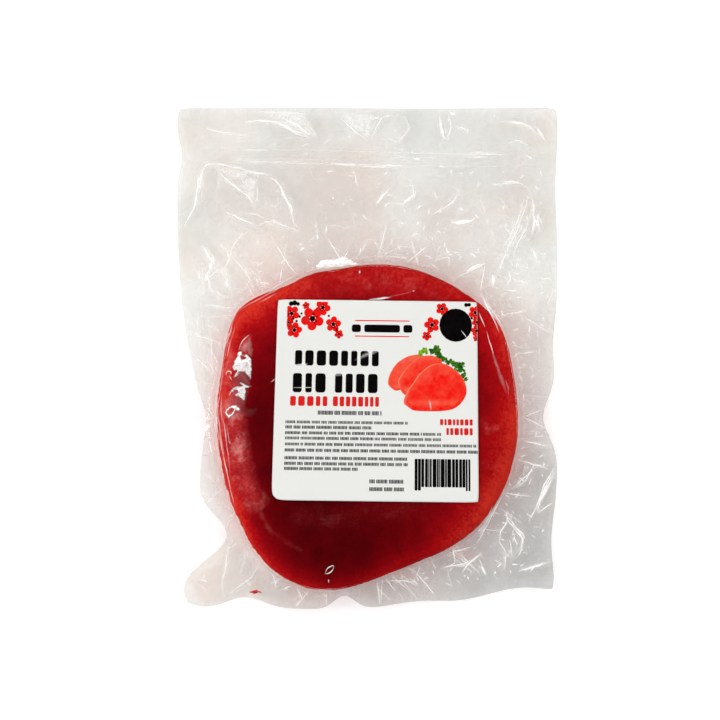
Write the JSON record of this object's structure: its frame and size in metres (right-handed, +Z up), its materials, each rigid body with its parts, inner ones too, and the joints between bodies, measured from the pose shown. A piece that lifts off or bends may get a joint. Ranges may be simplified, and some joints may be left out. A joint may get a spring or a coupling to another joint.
{
  "type": "vacuum-packed raw tuna steak",
  "caption": "Round raw tuna medallion sealed in a flat clear vacuum pouch with creased margins and a square printed paper label on top.",
  "frame": {"origin": "under the middle of the pouch's box, on the surface that the pouch lies on", "axes": "+Z up through the label, +Y along the pouch's length towards its empty sealed end, +X to the right with that end at the top"},
  "size_m": [0.152, 0.2, 0.0166],
  "materials": {
    "packed_steak": "deep red raw tuna with a brighter rim, seen through clear glossy film",
    "clear_film": "clear, slightly hazy packing film with creases",
    "label_paper": "white coated paper with a light gloss",
    "label_print": "flat printed shapes in black, red, coral and green"
  },
  "bodies": {
    "root": {"pouch": "packed_steak", "label": "label_paper"}
  },
  "joints": []
}
